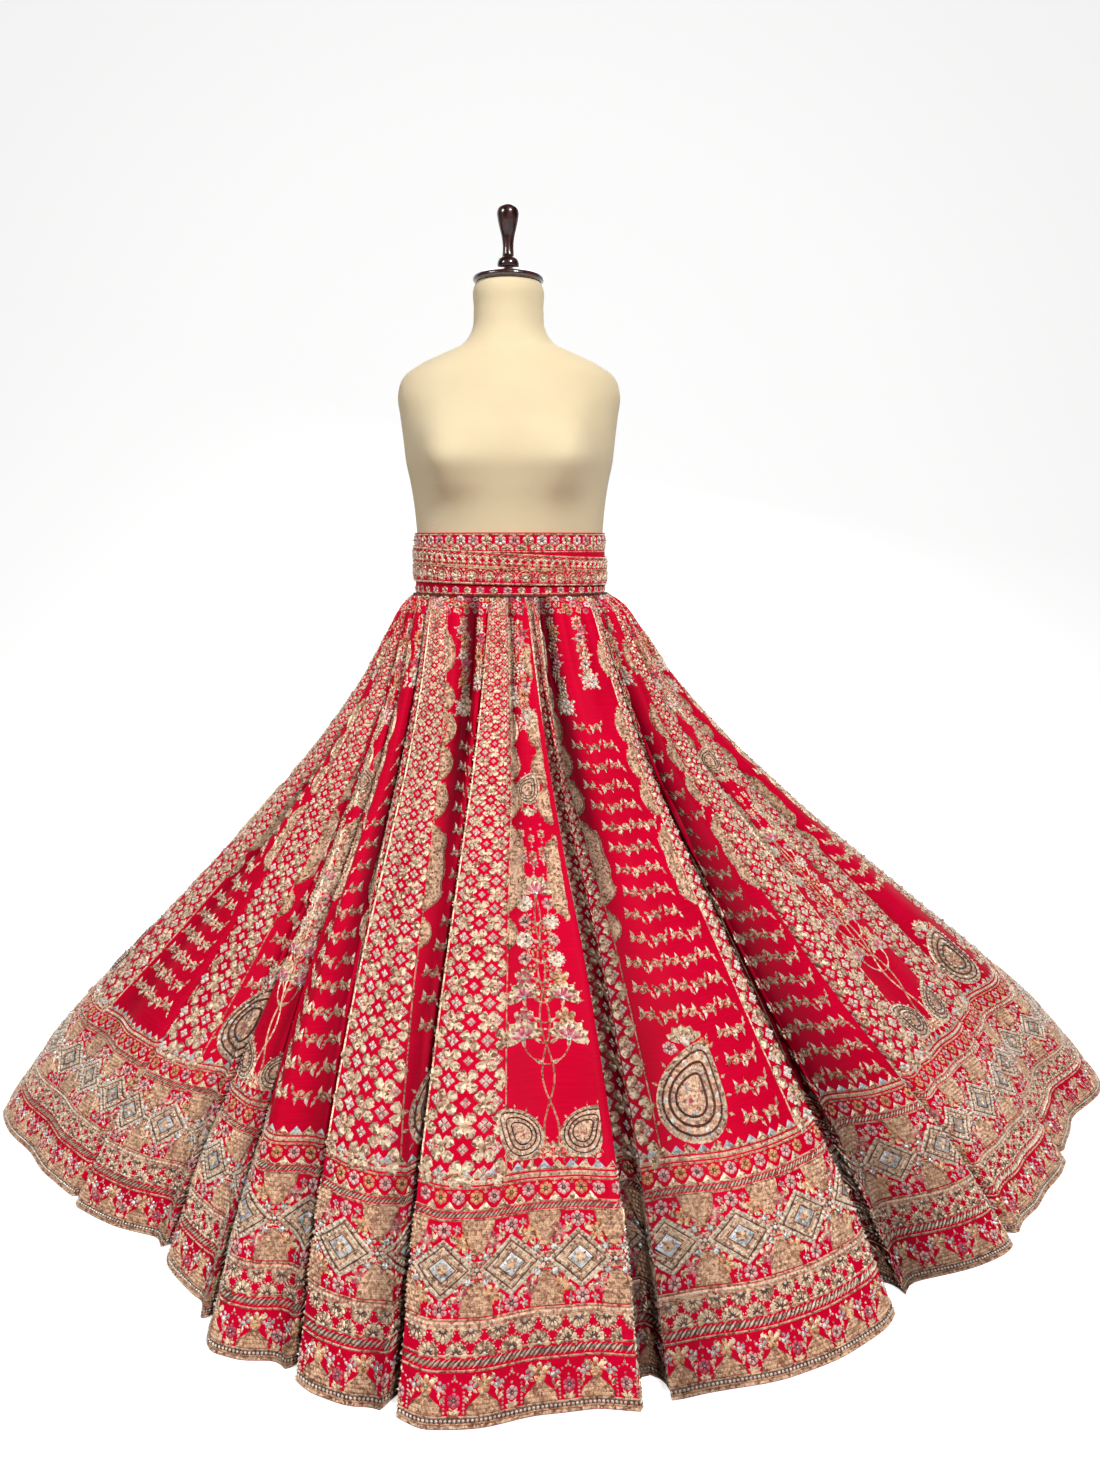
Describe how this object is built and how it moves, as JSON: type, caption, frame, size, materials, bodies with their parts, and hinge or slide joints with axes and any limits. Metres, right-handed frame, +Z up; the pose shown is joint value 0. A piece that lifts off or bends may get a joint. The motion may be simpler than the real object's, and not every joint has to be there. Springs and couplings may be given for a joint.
{
  "type": "lehenga skirt on dress form",
  "caption": "Long flared panelled lehenga skirt with gathered waist, waistband and belt, worn by a limbless padded dress form on a round base.",
  "frame": {"origin": "centre of the underside of the stand's round base plate, on the axis of the form's pole", "axes": "+Z up along the pole; +X towards the wearer's left, the skirt's widest spread; the wearer's front faces -Y"},
  "size_m": [1.7432, 1.5019, 1.3238],
  "materials": {
    "silk": "crimson silk with gold, silver, pink and orange hand embroidery",
    "embroidery": "couched gold thread and beads on a stiffened band",
    "jersey": "cream cotton jersey over padding",
    "mahogany": "dark polished",
    "steel": "satin"
  },
  "bodies": {
    "root": {"kali_01": "silk", "kali_02": "silk", "kali_03": "silk", "kali_04": "silk", "kali_05": "silk", "kali_06": "silk", "kali_07": "silk", "kali_08": "silk", "kali_09": "silk", "kali_10": "silk", "kali_11": "silk", "kali_12": "silk", "kali_13": "silk", "kali_14": "silk", "kali_15": "silk", "kali_16": "silk", "kali_17": "silk", "kali_18": "silk", "kali_19": "silk", "kali_20": "silk", "waistband": "silk", "belt": "embroidery", "form_torso": "jersey", "neck_cap": "mahogany", "finial": "mahogany", "stand_pole": "steel", "stand_base": "steel"}
  },
  "joints": []
}
